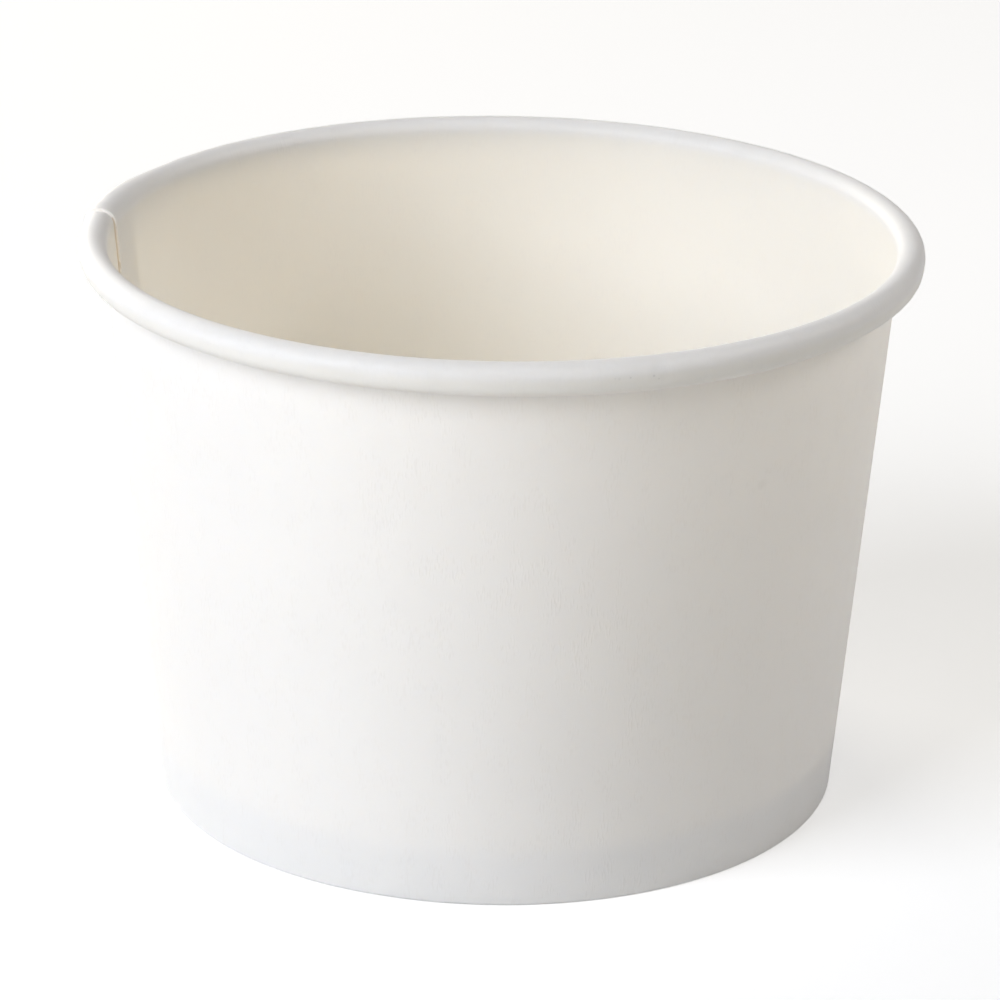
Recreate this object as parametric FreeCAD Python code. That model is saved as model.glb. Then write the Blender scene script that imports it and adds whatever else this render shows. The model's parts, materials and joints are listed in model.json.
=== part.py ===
import FreeCAD, Part
import math
import os

# A paper cup in two pieces of board. The side wall is one sheet wrapped into a cone and glued down a
# lap seam, with its top rolled outwards into a rim and its foot folded up inside the cup. That fold
# grips the downward skirt of the base disc.
#
# The frame: millimetres, +Z up, origin on the floor at the centre of the foot. The sections are drawn
# in the XZ plane, with X as the radius, and turned about Z.

# Overall sizes
rim_diameter = 98.0      # across the outside of the rolled rim
height = 67.4            # floor to the top of the rolled rim
base_diameter = 80.6     # across the outside of the wall, carried down to the floor

# Boards
wall_board = 0.35        # thickness of the side wall's sheet
base_board = 0.30        # thickness of the base disc's sheet
seal_gap = 0.02          # coating left between two faces that are pressed together

# Rolled rim
curl_radius = 1.45       # upper roll, to the middle of the sheet
bead_height = 3.65       # top of the rim to its lowest point
tuck_gap = 0.10          # rolled-in end to the outside of the wall
tuck_length = 0.60       # straight end of the sheet inside the roll
tuck_squeeze = 0.05      # how much nearer to the wall that end is pressed where the rim is doubled

# Foot
hem_height = 5.2         # how far the wall's foot is folded up inside
fold_radius = 0.03       # inside radius of the two creases of that fold
recess = 7.0             # floor to the underside of the base disc
shoulder_radius = 0.55   # inside radius where the disc turns down into its skirt
skirt_clearance = 0.60   # lower edge of the skirt to the creases

# Lap seam
seam_azimuth = 174.0     # cut edge inside the cup, which faces -Y, in degrees from +X towards +Y
lap_width = 7.0          # how far the two ends of the sheet overlap, round the cup
lap_run_out = 12.0       # how far round the cup the upper layer takes to rise over the other end
lap_fade = 6.0           # height over which the lap is pressed flat above the base disc
lap_clearance = 0.30     # top of the base disc to the foot of that fade
lap_stations = 9         # sections through the run-out

# Sizes that follow
half_board = wall_board / 2
rim_radius = rim_diameter / 2
base_radius = base_diameter / 2
roll_outside = curl_radius + half_board
roll_r = rim_radius - roll_outside
roll_z = height - roll_outside

# The wall's outside runs from the edge of the base, tangent to the inside of the upper roll
reach = math.hypot(roll_r - base_radius, roll_z)
taper = math.atan2(roll_r - base_radius, roll_z) - math.asin((curl_radius - half_board) / reach)

up = FreeCAD.Vector(math.sin(taper), 0, math.cos(taper))
out = FreeCAD.Vector(math.cos(taper), 0, -math.sin(taper))
vertical = FreeCAD.Vector(0, 0, 1)
origin = FreeCAD.Vector(0, 0, 0)

# The upper and lower rolls of the rim, whose straight between them makes up the rim's height
upper_roll = FreeCAD.Vector(roll_r, 0, roll_z)
lower_radius = curl_radius - (wall_board + tuck_gap) / 2
roll_step = curl_radius - lower_radius
rim_straight = (
    bead_height - roll_outside - lower_radius - half_board - roll_step * math.sin(taper)
) / math.cos(taper)

# The two creases of the foot, with a flat between them that the cup stands on
crease = fold_radius + half_board
outer_crease = FreeCAD.Vector(
    base_radius - (crease + half_board) * (1 - math.sin(taper)) / math.cos(taper),
    0,
    crease + half_board,
)
foot_flat = (base_board + 2 * seal_gap - 2 * fold_radius) / math.cos(taper)
inner_crease = outer_crease - FreeCAD.Vector(foot_flat, 0, 0)

# The base disc's shoulder, tangent to a skirt that lies against the wall
disc_top = recess + base_board
half_base = base_board / 2
skirt_line = fold_radius - seal_gap - half_base
shoulder = shoulder_radius + half_base
shoulder_z = disc_top - half_base - shoulder
shoulder_up = (
    shoulder_z - outer_crease.z + (skirt_line - shoulder) * math.sin(taper)
) / math.cos(taper)
shoulder_centre = outer_crease + out * (skirt_line - shoulder) + up * shoulder_up

# Heights along the wall, measured from the outer crease
lap_foot = (disc_top + lap_clearance - outer_crease.z) / math.cos(taper)
lap_full = lap_foot + lap_fade
wall_top = (upper_roll - outer_crease).dot(up)

# Angles of the seam round the cup
lap_radius = (rim_radius + base_radius) / 2
lap_angle = math.degrees(lap_width / lap_radius)
run_out_angle = math.degrees(lap_run_out / lap_radius)
lap_azimuth = seam_azimuth - lap_angle
run_out_azimuth = lap_azimuth - run_out_angle


def line(start, end):
    return Part.LineSegment(start, end).toShape()


def arc(centre, radius, start, middle, end):
    return Part.Arc(centre + start * radius, centre + middle * radius, centre + end * radius).toShape()


def between(start, end):
    """Direction halfway round the arc between two directions."""
    middle = start + end
    return middle.normalize()


def wall_face(side, lift):
    """Edges of one face of the wall's sheet, from the end of its hem to the end tucked into the rim.

    side is the distance from the middle of the sheet towards the cup's inside, and lift moves the
    sheet that way where it rides over its other end.
    """
    fold = crease - side
    bottom = vertical * -1
    inner_end = inner_crease - out * fold
    wall_foot = outer_crease + out * fold
    lifted_foot = wall_foot - out * lift
    squeeze = tuck_squeeze * lift / wall_board
    upper = curl_radius + side + lift
    lower = lower_radius + side + (lift + squeeze) / 2
    rim_outside = upper_roll + out * upper
    lower_roll = upper_roll + out * (roll_step + (lift - squeeze) / 2) - up * rim_straight
    tuck_start = lower_roll - out * lower
    return [
        line(inner_end + up * hem_height, inner_end),
        arc(inner_crease, fold, out * -1, between(out * -1, bottom), bottom),
        line(inner_crease + bottom * fold, outer_crease + bottom * fold),
        arc(outer_crease, fold, bottom, between(bottom, out), out),
        line(wall_foot, wall_foot + up * lap_foot),
        line(wall_foot + up * lap_foot, lifted_foot + up * lap_full),
        line(lifted_foot + up * lap_full, lifted_foot + up * wall_top),
        arc(upper_roll, upper, out * -1, up, out),
        line(rim_outside, rim_outside - up * rim_straight),
        arc(lower_roll, lower, out, up * -1, out * -1),
        line(tuck_start, tuck_start + up * tuck_length),
    ]


def wall_section(inside_lift, outside_lift, azimuth):
    """Closed section of the wall, with each face of the board lifted on its own, at an azimuth."""
    inside = wall_face(half_board, inside_lift)
    outside = wall_face(-half_board, outside_lift)
    hem_end = line(outside[0].Vertexes[0].Point, inside[0].Vertexes[0].Point)
    tuck_end = line(inside[-1].Vertexes[1].Point, outside[-1].Vertexes[1].Point)
    wire = Part.Wire(inside + [tuck_end] + outside[::-1] + [hem_end])
    wire.rotate(origin, vertical, azimuth)
    return wire


def turned(wire, angle):
    return Part.Face(wire).revolve(origin, vertical, angle)


def make_side_wall():
    """The wrapped sheet: one thickness, a run-out where it rises over its other end, and the lap."""
    single_angle = 360 - lap_angle - run_out_angle
    single = turned(wall_section(0, 0, seam_azimuth), single_angle)
    lap = turned(wall_section(wall_board, 0, lap_azimuth), lap_angle)
    sections = []
    for station in range(lap_stations):
        share = station / (lap_stations - 1)
        lift = wall_board * share * share * (3 - 2 * share)
        sections.append(wall_section(lift, lift, run_out_azimuth + run_out_angle * share))
    run_out = Part.makeLoft(sections, True, True)
    return single.fuse([lap, run_out]).removeSplitter()


def make_base_disc():
    """The recessed disc with its skirt, down inside the wall's fold."""
    skirt_foot = outer_crease + out * skirt_line + up * skirt_clearance
    turn = between(vertical, out)
    upper_face = shoulder + half_base
    lower_face = shoulder - half_base
    edges = [
        line(FreeCAD.Vector(0, 0, disc_top), shoulder_centre + vertical * upper_face),
        arc(shoulder_centre, upper_face, vertical, turn, out),
        line(shoulder_centre + out * upper_face, skirt_foot + out * half_base),
        line(skirt_foot + out * half_base, skirt_foot - out * half_base),
        line(skirt_foot - out * half_base, shoulder_centre + out * lower_face),
        arc(shoulder_centre, lower_face, out, turn, vertical),
        line(shoulder_centre + vertical * lower_face, FreeCAD.Vector(0, 0, recess)),
        line(FreeCAD.Vector(0, 0, recess), FreeCAD.Vector(0, 0, disc_top)),
    ]
    return turned(Part.Wire(edges), 360)


def write_part(name, shape):
    """Write one closed solid to parts/, and print what it measures."""
    solid = shape.Solids[0]
    box = solid.BoundBox
    print(
        name,
        "solids", len(shape.Solids),
        "valid", solid.isValid(),
        "volume", round(solid.Volume, 2),
        "box", [round(v, 3) for v in (box.XMin, box.YMin, box.ZMin, box.XMax, box.YMax, box.ZMax)],
    )
    shape.exportStep(os.path.join("parts", name + ".step"))


os.makedirs("parts", exist_ok=True)
write_part("side_wall", make_side_wall())
write_part("base_disc", make_base_disc())
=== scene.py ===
"""A white paper sundae cup, dressed for its portrait.

The cup is two pieces of board. The side wall is one sheet, wrapped round with a lap seam, rolled out at
the rim and folded up inside at the foot. The base disc hangs in that fold by its skirt. Lengths are in
millimetres until a mesh is made, and angles are in degrees from +X towards +Y.
"""

import json
import logging
import math
from dataclasses import dataclass, field
from enum import Enum
from typing import Any, Iterable

import bpy
import numpy as np
from mathutils import Matrix, Vector


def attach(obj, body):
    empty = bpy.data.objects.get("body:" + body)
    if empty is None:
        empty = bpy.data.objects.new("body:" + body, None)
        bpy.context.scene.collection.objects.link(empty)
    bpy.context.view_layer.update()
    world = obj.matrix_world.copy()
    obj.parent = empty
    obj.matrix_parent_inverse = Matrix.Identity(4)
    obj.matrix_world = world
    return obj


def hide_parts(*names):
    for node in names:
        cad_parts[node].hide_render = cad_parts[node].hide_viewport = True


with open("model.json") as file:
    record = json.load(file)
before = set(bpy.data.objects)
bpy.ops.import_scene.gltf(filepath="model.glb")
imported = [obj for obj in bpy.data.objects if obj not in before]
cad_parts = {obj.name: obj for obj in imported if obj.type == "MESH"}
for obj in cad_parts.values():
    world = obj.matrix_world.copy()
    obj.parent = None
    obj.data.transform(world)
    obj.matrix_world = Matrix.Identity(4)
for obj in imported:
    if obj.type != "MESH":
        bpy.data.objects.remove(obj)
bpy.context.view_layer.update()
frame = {"record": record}

MM = 0.001
log = logging.getLogger("sundae_cup")


class Side(Enum):
    """Sides of a board, each with its own finish. The value is the mesh's material index."""

    PRINTED = 0
    COATED = 1
    CUT_EDGE = 2
    # Half of the seam's cut edge against the covered end, darker partly for the glue and partly as painted
    # shade of the crease between the layers.
    GLUE_AND_SHADE_EDGE = 3


class Grain(Enum):
    """How a board's fibres run: bent round the cup with the wall, or straight across a flat disc."""

    WRAPPED = "wrapped"
    FLAT = "flat"


class Body(Enum):
    """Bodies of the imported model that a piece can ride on."""

    CUP = "root"


def smooth_step(start: float, end: float, value: Any) -> Any:
    """Ease from 0 to 1 as a value passes from start to end.

    Args:
        start: Where the step begins.
        end: Where it is complete. It may lie below start, for a falling step.
        value: A number or an array of them.

    Returns:
        The eased share, of the same shape as value.
    """
    share = np.clip((value - start) / (end - start), 0.0, 1.0)
    return share * share * (3.0 - 2.0 * share)


@dataclass(frozen=True)
class CupSizes:
    """Sizes of the cup, in millimetres and degrees, as it is made."""

    height: float
    rim_radius: float = 49.0
    base_radius: float = 40.3
    board: float = 0.35
    base_board: float = 0.30
    seal_gap: float = 0.02
    curl_radius: float = 1.45
    bead_height: float = 3.65
    tuck_gap: float = 0.10
    tuck_length: float = 0.60
    hem_height: float = 5.2
    fold_radius: float = 0.03
    recess: float = 7.0
    shoulder_radius: float = 0.55
    skirt_clearance: float = 0.60
    seam: float = 174.0
    lap_width: float = 7.0
    run_out_width: float = 12.0
    settle_width: float = 5.0

    @classmethod
    def from_frame(cls) -> "CupSizes":
        """Take the cup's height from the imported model.

        Returns:
            The cup's sizes, as tall as the place that a lid fits.
        """
        rim = next(mount for mount in frame["record"]["mounts"] if mount["name"] == "lid_rim")
        return cls(height=rim["pos_m"][2] / MM)

    @property
    def half_board(self) -> float:
        """Half the thickness of the wall's sheet."""
        return self.board / 2

    @property
    def roll_r(self) -> float:
        """Radius at which the upper roll of the rim is centred."""
        return self.rim_radius - self.curl_radius - self.half_board

    @property
    def roll_z(self) -> float:
        """Height at which the upper roll of the rim is centred."""
        return self.height - self.curl_radius - self.half_board

    @property
    def taper(self) -> float:
        """Angle of the wall from the vertical, in radians, tangent to the inside of the upper roll."""
        across = self.roll_r - self.base_radius
        reach = math.hypot(across, self.roll_z)
        return math.atan2(across, self.roll_z) - math.asin((self.curl_radius - self.half_board) / reach)

    @property
    def lower_radius(self) -> float:
        """Radius of the lower roll of the rim, to the middle of the sheet."""
        return self.curl_radius - (self.board + self.tuck_gap) / 2

    @property
    def rim_straight(self) -> float:
        """Length of the straight between the two rolls of the rim."""
        step = (self.curl_radius - self.lower_radius) * math.sin(self.taper)
        rolls = self.curl_radius + self.lower_radius + self.board
        return (self.bead_height - rolls - step) / math.cos(self.taper)

    @property
    def crease(self) -> float:
        """Radius of the creases of the foot, to the middle of the sheet."""
        return self.fold_radius + self.half_board

    @property
    def foot_flat(self) -> float:
        """Width of the flat that the cup stands on."""
        return (self.base_board + 2 * (self.seal_gap - self.fold_radius)) / math.cos(self.taper)

    @property
    def degrees_per_mm(self) -> float:
        """Angle round the cup that a millimetre takes up at the wall's mean radius."""
        return math.degrees(2 / (self.rim_radius + self.base_radius))

    @property
    def lap_start(self) -> float:
        """Azimuth of the covered end's cut edge, on the outside."""
        return self.seam - self.lap_width * self.degrees_per_mm

    @property
    def rise_start(self) -> float:
        """Azimuth at which the sheet begins to rise over its covered end."""
        return self.lap_start - self.run_out_width * self.degrees_per_mm

    @property
    def settle_end(self) -> float:
        """Azimuth past the seam at which the fold and the roll have closed up again."""
        return self.seam + self.settle_width * self.degrees_per_mm

    def bulge(self, azimuth: Any) -> Any:
        """How far the lap pushes the base disc inwards, as a share of the board's thickness."""
        rising = smooth_step(self.rise_start, self.lap_start, azimuth)
        return rising * smooth_step(self.settle_end, self.seam, azimuth)


@dataclass
class SectionLine:
    """Middle line of a sheet in its radial plane, built up from straights and arcs."""

    points: list[np.ndarray] = field(default_factory=list)
    faces: list[np.ndarray] = field(default_factory=list)

    def straight(self, start: np.ndarray, end: np.ndarray, face: np.ndarray, steps: int) -> None:
        """Add a straight, with both of its ends unless it carries on from the last point.

        Args:
            start: First point, as radius and height.
            end: Last point.
            face: Direction in which the coated face looks.
            steps: Number of spans.
        """
        first = 1 if self.points else 0
        for step in range(first, steps + 1):
            self.points.append(start + (end - start) * (step / steps))
            self.faces.append(face)

    def arc(
        self, centre: np.ndarray, radius: float, start: float, turn: float, steps: int, outward: bool
    ) -> None:
        """Add an arc that carries on from the last point.

        Args:
            centre: Centre of the arc.
            radius: Radius to the middle of the sheet.
            start: Direction of the first point from the centre, in radians from outwards to upwards.
            turn: Angle turned through, in radians.
            steps: Number of spans.
            outward: Whether the coated face looks away from the centre.
        """
        for step in range(1, steps + 1):
            angle = start + turn * step / steps
            direction = np.array((math.cos(angle), math.sin(angle)))
            self.points.append(centre + direction * radius)
            self.faces.append(direction if outward else -direction)


@dataclass(frozen=True)
class WallSection:
    """Radial section of the side wall's sheet, from the end of its hem to the end tucked in the rim."""

    sizes: CupSizes
    hem_steps: int = 6
    inner_crease_steps: int = 3
    outer_crease_steps: int = 5
    wall_steps: int = 20
    upper_roll_steps: int = 20
    rim_straight_steps: int = 2
    lower_roll_steps: int = 12
    tuck_steps: int = 1

    @property
    def wall_rows(self) -> slice:
        """Rows of the section that lie on the wall and the rim."""
        first = self.hem_steps + self.inner_crease_steps + 1 + self.outer_crease_steps
        return slice(first, None)

    def trace(self, lift: float, nest: float, rim_extra: float) -> tuple[np.ndarray, np.ndarray]:
        """Draw the section at one azimuth.

        Args:
            lift: How far the sheet rides inwards over its other end.
            nest: How far the fold and the roll open to take the other end inside them.
            rim_extra: Length added to the straight of the rim.

        Returns:
            Points of the middle line as radius and height, and where the coated face looks at each.
        """
        s = self.sizes
        tilt = s.taper
        up = np.array((math.sin(tilt), math.cos(tilt)))
        out = np.array((math.cos(tilt), -math.sin(tilt)))
        crease = s.crease + nest
        depth = s.crease + s.half_board + max(lift, nest)
        outer_crease = np.array((s.base_radius - depth * (1 - math.sin(tilt)) / math.cos(tilt), depth))
        inner_crease = outer_crease - np.array((s.foot_flat, 0.0))
        upper_roll = np.array((s.roll_r, s.roll_z))
        upper = s.curl_radius + lift
        lower = s.lower_radius + (lift - nest) / 2
        straight = s.rim_straight + rim_extra
        lower_roll = upper_roll + out * (s.curl_radius - s.lower_radius + (lift + nest) / 2) - up * straight
        right_angle = math.pi / 2

        line = SectionLine()
        hem_foot = inner_crease - out * crease
        line.straight(hem_foot + up * s.hem_height, hem_foot, out, self.hem_steps)
        line.arc(inner_crease, crease, math.pi - tilt, right_angle + tilt, self.inner_crease_steps, False)
        floor = np.array((0.0, -crease))
        line.straight(inner_crease + floor, outer_crease + floor, np.array((0.0, 1.0)), 1)
        line.arc(outer_crease, crease, -right_angle, right_angle - tilt, self.outer_crease_steps, False)
        line.straight(outer_crease + out * crease, upper_roll - out * upper, -out, self.wall_steps)
        line.arc(upper_roll, upper, math.pi - tilt, -math.pi, self.upper_roll_steps, True)
        rim_side = upper_roll + out * upper
        line.straight(rim_side, rim_side - up * straight, out, self.rim_straight_steps)
        line.arc(lower_roll, lower, -tilt, -math.pi, self.lower_roll_steps, True)
        tuck = lower_roll - out * lower
        line.straight(tuck, tuck + up * s.tuck_length, -out, self.tuck_steps)
        return np.array(line.points), np.array(line.faces)


def swing(section: np.ndarray, azimuth: float) -> np.ndarray:
    """Turn points of a radial plane to an azimuth.

    Args:
        section: Rows of radius and height.
        azimuth: Angle from +X towards +Y, in degrees.

    Returns:
        Rows of x, y and z.
    """
    angle = math.radians(azimuth)
    radius = section[:, 0]
    return np.column_stack((radius * math.cos(angle), radius * math.sin(angle), section[:, 1]))


@dataclass
class BoardMesh:
    """Closed mesh of a bent board: two faces a thickness apart, and cut edges round them."""

    name: str
    vertices: list[np.ndarray] = field(default_factory=list)
    polygons: list[tuple[int, ...]] = field(default_factory=list)
    sides: list[Side] = field(default_factory=list)
    count: int = 0

    def add_grid(self, points: np.ndarray) -> np.ndarray:
        """Add a grid of points.

        Args:
            points: Array of azimuth, row and x, y, z, in millimetres.

        Returns:
            Array of azimuth and row, with the index of each vertex.
        """
        columns, rows = points.shape[:2]
        index = np.arange(columns * rows).reshape(columns, rows) + self.count
        self.vertices.append(points.reshape(-1, 3))
        self.count += columns * rows
        return index

    def add_face(self, first: np.ndarray, second: np.ndarray, side: Side) -> None:
        """Join two rows of vertices with quads.

        Args:
            first: Indices along one row.
            second: Indices along the next row, on the left of the first as seen from outside.
            side: Finish of the quads.
        """
        for corners in zip(first[:-1], first[1:], second[1:], second[:-1]):
            self.add_polygon(corners, side)

    def add_polygon(self, corners: Iterable[int], side: Side) -> None:
        """Add one polygon, with its corners anticlockwise as seen from outside."""
        self.polygons.append(tuple(int(corner) for corner in corners))
        self.sides.append(side)

    def add_fan(self, centre: int, ring: np.ndarray, side: Side) -> None:
        """Close a ring with triangles round a vertex in its middle."""
        for first, second in zip(ring[:-1], ring[1:]):
            self.add_polygon((centre, first, second), side)

    def make(self, finishes: dict[Side, bpy.types.Material]) -> bpy.types.Object:
        """Write the mesh, smooth apart from the corners of its cut edges.

        Args:
            finishes: Material of each side, in the order of the sides' values.

        Returns:
            The new object, linked to the scene.
        """
        mesh = bpy.data.meshes.new(self.name)
        places = np.concatenate(self.vertices) * MM
        mesh.from_pydata(places.tolist(), [], self.polygons)
        for finish in finishes.values():
            mesh.materials.append(finish)
        mesh.polygons.foreach_set("material_index", [side.value for side in self.sides])
        mesh.polygons.foreach_set("use_smooth", [True] * len(self.polygons))
        mesh.update()
        sides_at: dict[tuple[int, int], set[Side]] = {}
        for polygon, side in zip(mesh.polygons, self.sides):
            for key in polygon.edge_keys:
                sides_at.setdefault(key, set()).add(side)
        corners = [len(sides_at[edge.key]) > 1 for edge in mesh.edges]
        sharp = mesh.attributes.new("sharp_edge", "BOOLEAN", "EDGE")
        sharp.data.foreach_set("value", corners)
        piece = bpy.data.objects.new(self.name, mesh)
        bpy.context.scene.collection.objects.link(piece)
        return piece


@dataclass(frozen=True)
class RimRelief:
    """Unevenness of the rolled rim: its height round the cup, its fine wrinkles and one small dent."""

    thin_at: float = 200.0
    thin_spread: float = 34.0
    thin_by: float = 0.20
    thick_at: float = 288.0
    thick_spread: float = 30.0
    thick_by: float = 0.14
    wave_height: float = 0.010
    wave_step: int = 3
    first_wave: int = 30
    last_wave: int = 110
    wrinkle_height: float = 0.010
    first_wrinkle: int = 260
    last_wrinkle: int = 560
    crumpled_at: float = 280.0
    crumpled_spread: float = 14.0
    dent_at: float = 290.2
    dent_rise: float = 0.42
    dent_width: float = 1.0
    dent_depth: float = 0.08
    dent_stretch: float = 1.4
    leaning_out: float = 0.8
    leaning_up: float = 0.6
    seed: int = 11

    @staticmethod
    def turned(azimuth: float, centre: float) -> float:
        """Angle from a centre, between -180 and 180 degrees."""
        return (azimuth - centre + 180.0) % 360.0 - 180.0

    def near(self, azimuth: float, centre: float, spread: float) -> float:
        """Bell-shaped share by how near an azimuth is to a centre."""
        return math.exp(-((self.turned(azimuth, centre) / spread) ** 2))

    def extra(self, azimuth: float) -> float:
        """Length added to the straight of the rim at an azimuth."""
        thick = self.thick_by * self.near(azimuth, self.thick_at, self.thick_spread)
        return thick - self.thin_by * self.near(azimuth, self.thin_at, self.thin_spread)

    def ripple(self, azimuth: float, first: int, last: int) -> float:
        """Sum of random waves round the cup, about 1 high.

        Args:
            azimuth: Angle round the cup, in degrees.
            first: Fewest waves in a turn.
            last: Most waves in a turn.

        Returns:
            Height of the sum at that azimuth.
        """
        draw = np.random.default_rng(self.seed + first)
        counts = np.arange(first, last, self.wave_step)
        heights = draw.normal(0.0, math.sqrt(2.0 / len(counts)), len(counts))
        phases = draw.uniform(0.0, 2.0 * math.pi, len(counts))
        return float(np.sum(heights * np.cos(counts * math.radians(azimuth) + phases)))


@dataclass
class SideWall:
    """The wrapped sheet of the cup: hem, foot, wall and rolled rim, with its two ends lapped."""

    sizes: CupSizes
    relief: RimRelief = field(default_factory=RimRelief)
    column: float = 0.85
    fine_column: float = 0.20
    fine_from: float = 256.0
    fine_to: float = 304.0
    glue_line: float = 0.015
    crimps: int = 118
    crimp_depth: float = 0.09
    crimp_foot: float = 0.25
    crimp_top: float = 0.7
    # Rows of the rim that the darker seam edge, glue and painted crease shade, reaches into past the wall.
    glue_and_shade_rows: int = 3

    def azimuths(self) -> np.ndarray:
        """Angles of the columns, from the covered end round to the seam, closer where it is crumpled."""
        last = self.sizes.seam + 360.0
        stretches = (
            (self.sizes.lap_start, self.fine_from, self.column),
            (self.fine_from, self.fine_to, self.fine_column),
            (self.fine_to, last, self.column),
        )
        parts = []
        for start, end, step in stretches:
            parts.append(np.linspace(start, end, round((end - start) / step), endpoint=False))
        return np.append(np.concatenate(parts), last)

    def crimp(self, azimuth: float, rows: int) -> np.ndarray:
        """How far the hem is pressed in by the crimping wheel, row by row.

        Args:
            azimuth: Angle round the cup, in degrees.
            rows: Number of rows of the hem.

        Returns:
            Depths towards the middle of the cup, in millimetres.
        """
        ridge = 0.5 + 0.5 * math.cos(math.radians(azimuth) * self.crimps)
        height = np.linspace(0.0, 1.0, rows)
        band = smooth_step(0.0, self.crimp_foot, height) * smooth_step(1.0, self.crimp_top, height)
        return self.crimp_depth * ridge * band

    def wrinkles(self, azimuth: float, facing: np.ndarray) -> np.ndarray:
        """Relief of the rolled rim at an azimuth.

        Args:
            azimuth: Angle round the cup, in degrees.
            facing: Directions in which the coated face looks, row by row.

        Returns:
            Heights of the relief, in millimetres.
        """
        r = self.relief
        outside = np.clip(facing[:, 0] * r.leaning_out + facing[:, 1] * r.leaning_up, 0.0, 1.0)
        crest = np.clip(facing[:, 1], 0.0, 1.0) * outside
        waves = r.wave_height * r.ripple(azimuth, r.first_wave, r.last_wave) * outside
        crumpled = r.near(azimuth, r.crumpled_at, r.crumpled_spread)
        fine = r.wrinkle_height * crumpled * r.ripple(azimuth, r.first_wrinkle, r.last_wrinkle) * crest
        across = math.radians(r.turned(azimuth, r.dent_at)) * self.sizes.rim_radius
        along = (facing[:, 1] - r.dent_rise) * self.sizes.curl_radius * r.dent_stretch
        dent = r.dent_depth * np.exp(-(across**2 + along**2) / r.dent_width**2) * outside
        return waves + fine - dent

    def build(self, finishes: dict[Side, bpy.types.Material]) -> bpy.types.Object:
        """Make the sheet as one closed mesh.

        Args:
            finishes: Material of each side of the board.

        Returns:
            The side wall, in place.
        """
        s = self.sizes
        section = WallSection(s)
        rim_rows = slice(section.wall_rows.start + section.wall_steps, None)
        coated, printed = [], []
        for azimuth in self.azimuths():
            lift = s.board * float(smooth_step(s.rise_start + 360.0, s.lap_start + 360.0, azimuth))
            nest = s.board * float(smooth_step(s.settle_end, s.seam, azimuth))
            middle, facing = section.trace(lift, nest, self.relief.extra(azimuth))
            hem = self.crimp(azimuth, section.hem_steps + 1)
            middle[: len(hem)] -= facing[: len(hem)] * hem[:, None]
            relief = np.zeros(len(middle))
            relief[rim_rows] = self.wrinkles(azimuth, facing[rim_rows])
            middle += facing * relief[:, None]
            near = s.half_board - (self.glue_line if lift == 0.0 and azimuth < s.seam else 0.0)
            coated.append(swing(middle + facing * near, azimuth))
            printed.append(swing(middle - facing * s.half_board, azimuth))
        # The last section, at the seam, is left in middle for the spine of the cut edge
        board = BoardMesh("side_wall_sheet")
        inner = board.add_grid(np.array(coated))
        outer = board.add_grid(np.array(printed))
        spine = board.add_grid(swing(middle, self.sizes.seam)[None])[0]
        for row in range(inner.shape[1] - 1):
            board.add_face(inner[:, row + 1], inner[:, row], Side.COATED)
            board.add_face(outer[:, row], outer[:, row + 1], Side.PRINTED)
        board.add_face(inner[:-1, 0], outer[:-1, 0], Side.CUT_EDGE)
        board.add_face(outer[:-1, -1], inner[:-1, -1], Side.CUT_EDGE)
        for row in (0, -1):
            ends = (inner[-2, row], inner[-1, row], spine[row], outer[-1, row], outer[-2, row])
            board.add_polygon(ends if row == 0 else ends[::-1], Side.CUT_EDGE)
        board.add_face(outer[0], inner[0], Side.CUT_EDGE)
        board.add_face(inner[-1], spine, Side.CUT_EDGE)
        # The half of the seam's edge against the covered end is darker: partly glue, partly painted shade of
        # the crease between the layers.
        lip = rim_rows.start + self.glue_and_shade_rows
        board.add_face(spine[: lip + 1], outer[-1, : lip + 1], Side.GLUE_AND_SHADE_EDGE)
        board.add_face(spine[lip:], outer[-1, lip:], Side.CUT_EDGE)
        return board.make(finishes)

    def dress(self, finishes: dict[Side, bpy.types.Material]) -> bpy.types.Object:
        """Build the sheet and stand it for its node."""
        piece = self.build(finishes)
        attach(piece, Body.CUP.value)
        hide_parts("side_wall")
        return piece


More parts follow.
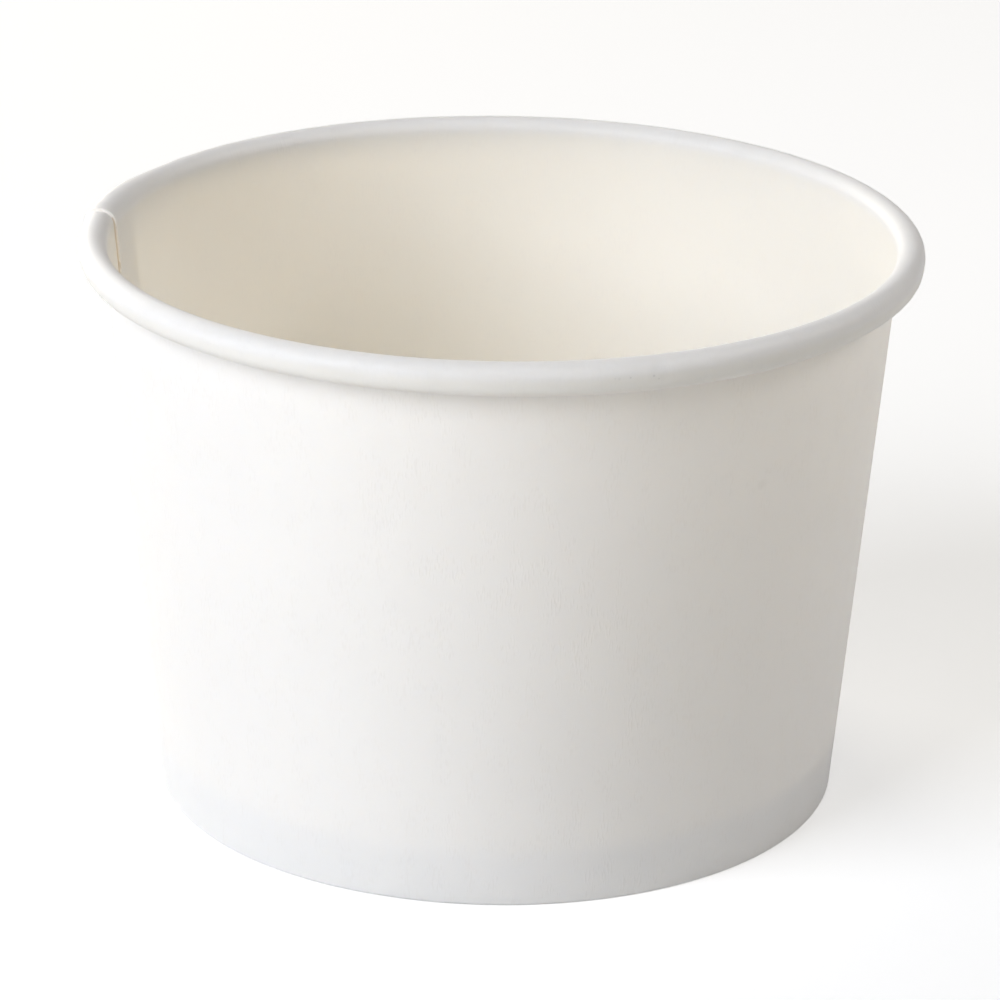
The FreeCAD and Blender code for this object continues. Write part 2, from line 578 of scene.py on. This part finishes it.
@dataclass
class BaseDisc:
    """The recessed disc, with a rounded shoulder and a skirt that goes down into the foot's fold."""

    sizes: CupSizes
    columns: int = 360
    disc_rings: int = 30
    shoulder_steps: int = 8
    skirt_steps: int = 6
    dish: float = 0.25
    bulge_power: int = 6

    def trace(self) -> tuple[np.ndarray, np.ndarray]:
        """Draw the disc's section, from near its centre to the lower edge of its skirt.

        Returns:
            Points of the middle line as radius and height, and where the upper face looks at each.
        """
        s = self.sizes
        tilt = s.taper
        up = np.array((math.sin(tilt), math.cos(tilt)))
        out = np.array((math.cos(tilt), -math.sin(tilt)))
        depth = s.crease + s.half_board
        outer_crease = np.array((s.base_radius - depth * (1 - math.sin(tilt)) / math.cos(tilt), depth))
        half = s.base_board / 2
        skirt = s.fold_radius - s.seal_gap - half
        shoulder = s.shoulder_radius + half
        middle_z = s.recess + half
        rise = (middle_z - shoulder - depth + (skirt - shoulder) * math.sin(tilt)) / math.cos(tilt)
        centre = outer_crease + out * (skirt - shoulder) + up * rise
        line = SectionLine()
        edge = centre + np.array((0.0, shoulder))
        inner = np.array((edge[0] / self.disc_rings, edge[1]))
        line.straight(inner, edge, np.array((0.0, 1.0)), self.disc_rings - 1)
        line.arc(centre, shoulder, math.pi / 2, -math.pi / 2 - tilt, self.shoulder_steps, True)
        skirt_top = centre + out * shoulder
        skirt_foot = outer_crease + out * skirt + up * s.skirt_clearance
        line.straight(skirt_top, skirt_foot, out, self.skirt_steps)
        return np.array(line.points), np.array(line.faces)

    def build(self, finishes: dict[Side, bpy.types.Material]) -> bpy.types.Object:
        """Make the disc as one closed mesh.

        Args:
            finishes: Material of each side of the board.

        Returns:
            The base disc, in place.
        """
        s = self.sizes
        middle, facing = self.trace()
        reach = middle[:, 0].max()
        upper, lower = [], []
        for azimuth in np.linspace(0.0, 360.0, self.columns, endpoint=False):
            pressed = middle.copy()
            share = middle[:, 0] / reach
            pressed[:, 0] -= s.board * float(s.bulge(azimuth)) * share**self.bulge_power
            pressed[: self.disc_rings, 1] -= self.dish * (1.0 - share[: self.disc_rings] ** 2)
            upper.append(swing(pressed + facing * s.base_board / 2, azimuth))
            lower.append(swing(pressed - facing * s.base_board / 2, azimuth))
        board = BoardMesh("base_disc_sheet")
        top = board.add_grid(np.array(upper))
        under = board.add_grid(np.array(lower))
        dished = s.recess - self.dish
        hubs = board.add_grid(np.array([[[0.0, 0.0, dished + s.base_board], [0.0, 0.0, dished]]]))
        top = np.vstack((top, top[:1]))
        under = np.vstack((under, under[:1]))
        for row in range(top.shape[1] - 1):
            board.add_face(top[:, row + 1], top[:, row], Side.COATED)
            board.add_face(under[:, row], under[:, row + 1], Side.PRINTED)
        board.add_face(under[:, -1], top[:, -1], Side.CUT_EDGE)
        board.add_fan(int(hubs[0, 0]), top[:, 0], Side.COATED)
        board.add_fan(int(hubs[0, 1]), under[::-1, 0], Side.PRINTED)
        return board.make(finishes)

    def dress(self, finishes: dict[Side, bpy.types.Material]) -> bpy.types.Object:
        """Build the disc and stand it for its node."""
        piece = self.build(finishes)
        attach(piece, Body.CUP.value)
        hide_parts("base_disc")
        return piece


Value = "Flow | float"


class Flow:
    """Output of a node. Sums on it are written as plain arithmetic, and become Math nodes."""

    def __init__(self, graph: "Graph", socket: bpy.types.NodeSocket) -> None:
        """Wrap a socket.

        Args:
            graph: Node tree that the socket is in.
            socket: The output.
        """
        self.graph = graph
        self.socket = socket

    def math(self, operation: str, first: Value, second: Value) -> "Flow":
        """Add a Math node."""
        return self.graph.node("ShaderNodeMath", {"operation": operation}, {0: first, 1: second})

    def __add__(self, other: Value) -> "Flow":
        """Add a value."""
        return self.math("ADD", self, other)

    def __radd__(self, other: Value) -> "Flow":
        """Add to a value."""
        return self.math("ADD", other, self)

    def __sub__(self, other: Value) -> "Flow":
        """Take a value away."""
        return self.math("SUBTRACT", self, other)

    def __rsub__(self, other: Value) -> "Flow":
        """Take away from a value."""
        return self.math("SUBTRACT", other, self)

    def __mul__(self, other: Value) -> "Flow":
        """Multiply by a value."""
        return self.math("MULTIPLY", self, other)

    def __rmul__(self, other: Value) -> "Flow":
        """Multiply a value."""
        return self.math("MULTIPLY", other, self)


@dataclass(frozen=True)
class Colour:
    """A colour as it would be picked from a screen, each part from 0 to 1."""

    red: float
    green: float
    blue: float

    @staticmethod
    def linear(part: float) -> float:
        """Light of one part of a screen colour."""
        return part / 12.92 if part <= 0.04045 else ((part + 0.055) / 1.055) ** 2.4

    @property
    def rgba(self) -> tuple[float, float, float, float]:
        """The colour as light, opaque."""
        return self.linear(self.red), self.linear(self.green), self.linear(self.blue), 1.0


class Graph:
    """Node tree of a material or of the world."""

    def __init__(self, tree: bpy.types.NodeTree) -> None:
        """Start with an empty tree."""
        self.tree = tree
        self.tree.nodes.clear()

    def node(self, kind: str, settings: dict[str, Any], sockets: dict[Any, Any], output: Any = 0) -> Flow:
        """Add a node of any type.

        Args:
            kind: Blender's name for the node's type.
            settings: Its settings, which are set first.
            sockets: What its inputs are given, by name or place: a value or another node's output.
            output: Name or place of the output that is wanted.

        Returns:
            That output.
        """
        made = self.tree.nodes.new(kind)
        for name, value in settings.items():
            setattr(made, name, value)
        for name, value in sockets.items():
            if isinstance(value, Flow):
                self.tree.links.new(value.socket, made.inputs[name])
            else:
                made.inputs[name].default_value = value
        return Flow(self, made.outputs[output] if len(made.outputs) else None)

    def position(self) -> Flow:
        """Place on the object, in metres."""
        return self.node("ShaderNodeTexCoord", {}, {}, "Object")

    def vector(self, operation: str, first: Any, second: Any) -> Flow:
        """Add a Vector Math node."""
        return self.node("ShaderNodeVectorMath", {"operation": operation}, {0: first, 1: second}, "Vector")

    def wrapped(self, place: Flow, radius: float) -> Flow:
        """Follow a sheet that is wrapped round the cup.

        Args:
            place: Place in metres.
            radius: Radius at which the sheet is unrolled, in millimetres.

        Returns:
            A place whose x and y lie on a circle of that radius, and whose z runs up and in with the sheet.
        """
        level = self.vector("MULTIPLY", place, (1.0, 1.0, 0.0))
        outward = self.node("ShaderNodeVectorMath", {"operation": "NORMALIZE"}, {0: level}, "Vector")
        sockets = {0: outward, "Scale": radius * MM}
        round_cup = self.node("ShaderNodeVectorMath", {"operation": "SCALE"}, sockets, "Vector")
        out = self.node("ShaderNodeVectorMath", {"operation": "LENGTH"}, {0: level}, "Value")
        rise = self.node("ShaderNodeCombineXYZ", {}, {"Z": self.height(place) - out}, "Vector")
        return self.vector("ADD", round_cup, rise)

    def stretched(self, place: Flow, across: float, along: float) -> Flow:
        """Scale a place for a grain that runs up the wall.

        Args:
            place: Place in metres.
            across: Grains per millimetre, round the cup.
            along: Grains per millimetre, up the wall.

        Returns:
            The scaled place.
        """
        return self.vector("MULTIPLY", place, (across / MM, across / MM, along / MM))

    def noise(self, place: Flow) -> Flow:
        """Smooth noise from 0 to 1 at a scaled place."""
        sockets = {"Vector": place, "Scale": 1.0, "Detail": 0.0}
        return self.node("ShaderNodeTexNoise", {"noise_dimensions": "3D"}, sockets, "Fac")

    def step(self, value: Flow, start: float, end: float) -> Flow:
        """Ease from 0 to 1 as a value passes from start to end."""
        settings = {"interpolation_type": "SMOOTHSTEP", "clamp": True}
        sockets = {"Value": value, "From Min": start, "From Max": end}
        return self.node("ShaderNodeMapRange", settings, sockets, "Result")

    def blend(self, share: Value, first: Any, second: Any) -> Flow:
        """Mix two colours by a share from 0 to 1."""
        made = self.node("ShaderNodeMix", {"data_type": "RGBA", "clamp_factor": True}, {0: share}, 2)
        for place, colour in ((6, first), (7, second)):
            if isinstance(colour, Flow):
                self.tree.links.new(colour.socket, made.socket.node.inputs[place])
            else:
                made.socket.node.inputs[place].default_value = colour
        return made

    def distance(self, place: Flow, point: tuple[float, float, float]) -> Flow:
        """Distance from a point in millimetres, in metres."""
        target = tuple(part * MM for part in point)
        return self.node("ShaderNodeVectorMath", {"operation": "DISTANCE"}, {0: place, 1: target}, "Value")

    def height(self, place: Flow) -> Flow:
        """Height above the floor, in metres."""
        return self.node("ShaderNodeSeparateXYZ", {}, {0: place}, "Z")

    def bump(self, relief: Flow, depth: float, strength: float) -> Flow:
        """Normal of a surface with a relief.

        Args:
            relief: Height of the relief, from 0 to 1.
            depth: Its height in millimetres.
            strength: Share of it that shows.

        Returns:
            The normal.
        """
        sockets = {"Strength": strength, "Distance": depth * MM, "Height": relief}
        return self.node("ShaderNodeBump", {}, sockets, "Normal")


@dataclass(frozen=True)
class Mark:
    """A small soft mark on the board."""

    place: tuple[float, float, float]
    radius: float
    darkening: float


@dataclass(frozen=True)
class BoardFinish:
    """Finish of one side of a board: its tone, its fibres and how it takes the light."""

    name: str
    colour: Colour
    # Colour above the second height; on the coated side its cooler tone on the bead is painted light.
    upper_colour: Colour
    fibre_colour: Colour
    fibres: float
    relief_depth: float
    relief_strength: float
    roughness: float
    upper_from: float
    upper_to: float
    marks: tuple[Mark, ...] = ()
    specular: float = 0.3
    see_through: float = 0.4
    glow_depth: float = 1.2
    glow_spread: tuple[float, float, float] = (1.0, 0.86, 0.66)
    grain: Grain = Grain.WRAPPED
    grain_radius: float = 45.0
    fine_grain: tuple[float, float] = (5.0, 1.2)
    cloud_grain: tuple[float, float] = (0.40, 0.28)
    tick_range: tuple[float, float] = (0.50, 0.76)
    cloud_range: tuple[float, float] = (0.42, 0.62)
    clouding: float = 0.15
    mark_core: float = 0.35
    gloss_change: float = 0.08
    fine_relief: float = 0.2
    relief_low: float = 0.3

    def make(self) -> bpy.types.Material:
        """Make the material.

        Returns:
            A material whose colour goes over to its upper colour between two heights inside the cup; on the
            coated side that change is painted light.
        """
        material = bpy.data.materials.new(self.name)
        material.use_nodes = True
        graph = Graph(material.node_tree)
        place = graph.position()
        sheet = graph.wrapped(place, self.grain_radius) if self.grain is Grain.WRAPPED else place
        fine = graph.noise(graph.stretched(sheet, *self.fine_grain))
        cloud = graph.noise(graph.stretched(sheet, *self.cloud_grain))
        ticks = graph.step(fine, *self.tick_range) * graph.step(cloud, *self.cloud_range)
        # Share of the upper colour, which also scales the relief. On the coated side the change of tone is
        # painted light: cool light from above on the bead, warm bounce light inside the cup.
        depth = graph.step(graph.height(place), self.upper_from * MM, self.upper_to * MM)
        ground = graph.blend(depth, self.colour.rgba, self.upper_colour.rgba)
        share = (ticks + cloud * self.clouding) * self.fibres
        toned = graph.blend(share, ground, self.fibre_colour.rgba)
        for mark in self.marks:
            rim, core = mark.radius * MM, mark.radius * self.mark_core * MM
            near = graph.step(graph.distance(place, mark.place), rim, core)
            toned = graph.blend(near * mark.darkening, toned, (0.0, 0.0, 0.0, 1.0))
        gloss = self.roughness + (cloud - 0.5) * self.gloss_change
        relief = (ticks + fine * self.fine_relief) * (self.relief_low + depth * (1.0 - self.relief_low))
        normal = graph.bump(relief, self.relief_depth, self.relief_strength)
        sockets = {
            "Base Color": toned,
            "Roughness": gloss,
            "Specular IOR Level": self.specular,
            "Subsurface Weight": self.see_through,
            "Subsurface Radius": self.glow_spread,
            "Subsurface Scale": self.glow_depth * MM,
            "Normal": normal,
        }
        surface = graph.node("ShaderNodeBsdfPrincipled", {"subsurface_method": "BURLEY"}, sockets, "BSDF")
        graph.node("ShaderNodeOutputMaterial", {}, {"Surface": surface})
        return material


@dataclass
class Finishes:
    """The cup's finishes: printed side, coated side and cut edge, for the wall and for the base."""

    spot: Mark = Mark((29.1, -33.9, 48.8), 0.80, 0.04)
    rim_marks: tuple[Mark, ...] = (
        Mark((16.9, -45.9, 66.0), 1.60, 0.035),
        Mark((16.45, -46.15, 65.65), 0.20, 0.14),
        Mark((17.0, -45.95, 65.25), 0.15, 0.16),
        Mark((13.9, -46.97, 65.7), 0.17, 0.12),
        Mark((12.7, -47.31, 65.65), 0.22, 0.06),
        Mark((12.25, -47.43, 65.7), 0.15, 0.06),
    )

    def wall(self) -> dict[Side, bpy.types.Material]:
        """Make the four finishes of the wall's board."""
        white = Colour(0.953, 0.95, 0.945)
        printed = BoardFinish(
            "matte_white_board", white, white, Colour(0.90, 0.89, 0.875),
            fibres=0.16, relief_depth=0.036, relief_strength=0.30, roughness=0.72,
            upper_from=-1.0, upper_to=0.0, marks=(self.spot,),
        )
        coated = BoardFinish(
            "coated_white_board",
            # Warmer inside the cup and cooler on the bead as painted light: warm bounce light inside, cool
            # light from above on the bead.
            Colour(0.958, 0.948, 0.925), Colour(0.957, 0.951, 0.944), Colour(0.92, 0.91, 0.90),
            fibres=0.12, relief_depth=0.034, relief_strength=0.30, roughness=0.5,
            upper_from=65.2, upper_to=66.4, marks=self.rim_marks,
        )
        return {
            Side.PRINTED: printed.make(),
            Side.COATED: coated.make(),
            Side.CUT_EDGE: self.edge("wall_cut_edge", Colour(0.970, 0.962, 0.950)),
            # Darker edge: partly glue, partly painted shade of the crease between the two layers.
            Side.GLUE_AND_SHADE_EDGE: self.edge("glue_and_shade_cut_edge", Colour(0.92, 0.885, 0.84)),
        }

    def base(self) -> dict[Side, bpy.types.Material]:
        """Make the three finishes of the base's board."""
        under = Colour(0.93, 0.92, 0.90)
        inner = Colour(0.945, 0.925, 0.885)
        printed = BoardFinish(
            "base_underside", under, under, Colour(0.87, 0.85, 0.82),
            fibres=0.5, relief_depth=0.02, relief_strength=0.4, roughness=0.78, upper_from=-1.0, upper_to=0.0,
            grain=Grain.FLAT,
        )
        coated = BoardFinish(
            "base_coated_side", inner, inner, Colour(0.90, 0.88, 0.84),
            fibres=0.3, relief_depth=0.016, relief_strength=0.3, roughness=0.55, upper_from=-1.0, upper_to=0.0,
            grain=Grain.FLAT,
        )
        return {
            Side.PRINTED: printed.make(),
            Side.COATED: coated.make(),
            Side.CUT_EDGE: self.edge("base_cut_edge", Colour(0.94, 0.92, 0.88)),
        }

    @staticmethod
    def edge(name: str, raw: Colour) -> bpy.types.Material:
        """Make the raw edge of a board, with open fibres.

        Args:
            name: Name of the material.
            raw: Colour of the edge.

        Returns:
            The material.
        """
        return BoardFinish(
            name, raw, raw, Colour(0.88, 0.83, 0.76),
            fibres=0.5, relief_depth=0.03, relief_strength=0.5, roughness=0.85, upper_from=-1.0, upper_to=0.0,
        ).make()


@dataclass(frozen=True)
class Softbox:
    """A square lamp that looks at the cup."""

    name: str
    azimuth: float
    elevation: float
    distance: float
    width: float
    power: float
    tint: tuple[float, float, float] = (1.0, 1.0, 1.0)

    def hang(self, target: Vector) -> None:
        """Put the lamp in the scene.

        Args:
            target: Point that it looks at, in metres.
        """
        lamp = bpy.data.lights.new(self.name, "AREA")
        lamp.shape = "SQUARE"
        lamp.size = self.width
        lamp.energy = self.power
        lamp.color = self.tint
        around, above = math.radians(self.azimuth), math.radians(self.elevation)
        level = math.cos(above)
        back = Vector((math.cos(around) * level, math.sin(around) * level, math.sin(above)))
        holder = bpy.data.objects.new(self.name, lamp)
        holder.location = target + back * self.distance
        holder.rotation_mode = "QUATERNION"
        holder.rotation_quaternion = back.to_track_quat("Z", "Y")
        bpy.context.scene.collection.objects.link(holder)


@dataclass
class Studio:
    """Pale floor, soft light and the camera."""

    floor_size: float = 6.0
    floor_tone: float = 0.80
    floor_glow: float = 0.42
    ambient: float = 0.03
    ambient_tint: tuple[float, float, float] = (1.0, 0.985, 0.97)
    lamps: tuple[Softbox, ...] = (
        Softbox("key_softbox", 218.0, 31.5, 1.1, 0.75, 9.55, (0.965, 1.0, 1.07)),
        Softbox("rear_softbox", 126.0, 15.0, 1.1, 0.75, 6.9, (1.06, 1.0, 0.88)),
        Softbox("right_softbox", 10.0, 35.0, 1.1, 0.45, 3.3, (1.02, 1.0, 1.0)),
        Softbox("front_softbox", 275.0, 35.0, 1.1, 0.75, 1.5, (1.10, 1.0, 0.80)),
    )
    sensor: float = 36.0
    lens: float = 168.55
    camera_elevation: float = 20.683
    camera_distance: float = 554.86
    aim: tuple[float, float, float] = (0.145, 0.0, 33.82)
    roll: float = 0.757

    @staticmethod
    def seen_directly(graph: Graph) -> Flow:
        """Share of a ray that comes from the camera, straight, mirrored or through something clear."""
        paths = [graph.node("ShaderNodeLightPath", {}, {}, name) for name in
                 ("Is Camera Ray", "Is Glossy Ray", "Is Transmission Ray")]
        seen = paths[0] + paths[1] + paths[2]
        return graph.step(seen, 0.0, 1.0)

    def lay_floor(self) -> None:
        """Make the floor, which looks white and keeps the cup's shadow."""
        half = self.floor_size / 2
        mesh = bpy.data.meshes.new("floor")
        corners = [(-half, -half, 0.0), (half, -half, 0.0), (half, half, 0.0), (-half, half, 0.0)]
        mesh.from_pydata(corners, [], [(0, 1, 2, 3)])
        floor = bpy.data.objects.new("floor", mesh)
        bpy.context.scene.collection.objects.link(floor)
        material = bpy.data.materials.new("pale_floor")
        material.use_nodes = True
        graph = Graph(material.node_tree)
        tone = (self.floor_tone, self.floor_tone, self.floor_tone, 1.0)
        glow = self.seen_directly(graph) * self.floor_glow
        matte = graph.node("ShaderNodeBsdfDiffuse", {}, {"Color": tone}, "BSDF")
        shine = graph.node("ShaderNodeEmission", {}, {"Strength": glow}, "Emission")
        surface = graph.node("ShaderNodeAddShader", {}, {0: matte, 1: shine}, "Shader")
        graph.node("ShaderNodeOutputMaterial", {}, {"Surface": surface})
        mesh.materials.append(material)

    def light(self) -> None:
        """Hang the lamps and give the room a weak even light, white where it is seen."""
        world = bpy.data.worlds.new("studio")
        world.use_nodes = True
        bpy.context.scene.world = world
        graph = Graph(world.node_tree)
        tint = (*self.ambient_tint, 1.0)
        room = graph.node("ShaderNodeBackground", {}, {"Color": tint, "Strength": self.ambient})
        white = graph.node("ShaderNodeBackground", {}, {"Color": (1.0, 1.0, 1.0, 1.0), "Strength": 1.0})
        surface = graph.node("ShaderNodeMixShader", {}, {0: self.seen_directly(graph), 1: room, 2: white})
        graph.node("ShaderNodeOutputWorld", {}, {"Surface": surface})
        for lamp in self.lamps:
            lamp.hang(Vector(self.aim) * MM)

    def place_camera(self) -> None:
        """Set up the camera at the photograph's viewing angle."""
        data = bpy.data.cameras.new("portrait")
        data.sensor_width = self.sensor
        data.lens = self.lens
        camera = bpy.data.objects.new("portrait", data)
        above = math.radians(self.camera_elevation)
        back = Vector((0.0, -math.cos(above), math.sin(above)))
        camera.location = (Vector(self.aim) + back * self.camera_distance) * MM
        level = back.to_track_quat("Z", "Y").to_matrix()
        tilt = Matrix.Rotation(math.radians(self.roll), 3, "Z")
        camera.rotation_mode = "QUATERNION"
        camera.rotation_quaternion = (level @ tilt).to_quaternion()
        bpy.context.scene.collection.objects.link(camera)
        bpy.context.scene.camera = camera

    def set_up(self) -> None:
        """Make the whole studio."""
        bpy.context.scene.view_settings.view_transform = "Standard"
        self.lay_floor()
        self.light()
        self.place_camera()


def main() -> None:
    """Build the cup and its studio, in order."""
    logging.basicConfig(level=logging.INFO, format="%(name)s: %(message)s")
    sizes = CupSizes.from_frame()
    log.info("rim radius %.2f mm, height %.2f mm, taper %.2f degrees",
             sizes.rim_radius, sizes.height, math.degrees(sizes.taper))
    finishes = Finishes()
    for part, coat in ((SideWall(sizes), finishes.wall()), (BaseDisc(sizes), finishes.base())):
        piece = part.dress(coat)
        log.info("%s: %d faces", piece.name, len(piece.data.polygons))
    Studio().set_up()


if __name__ == "__main__":
    main()
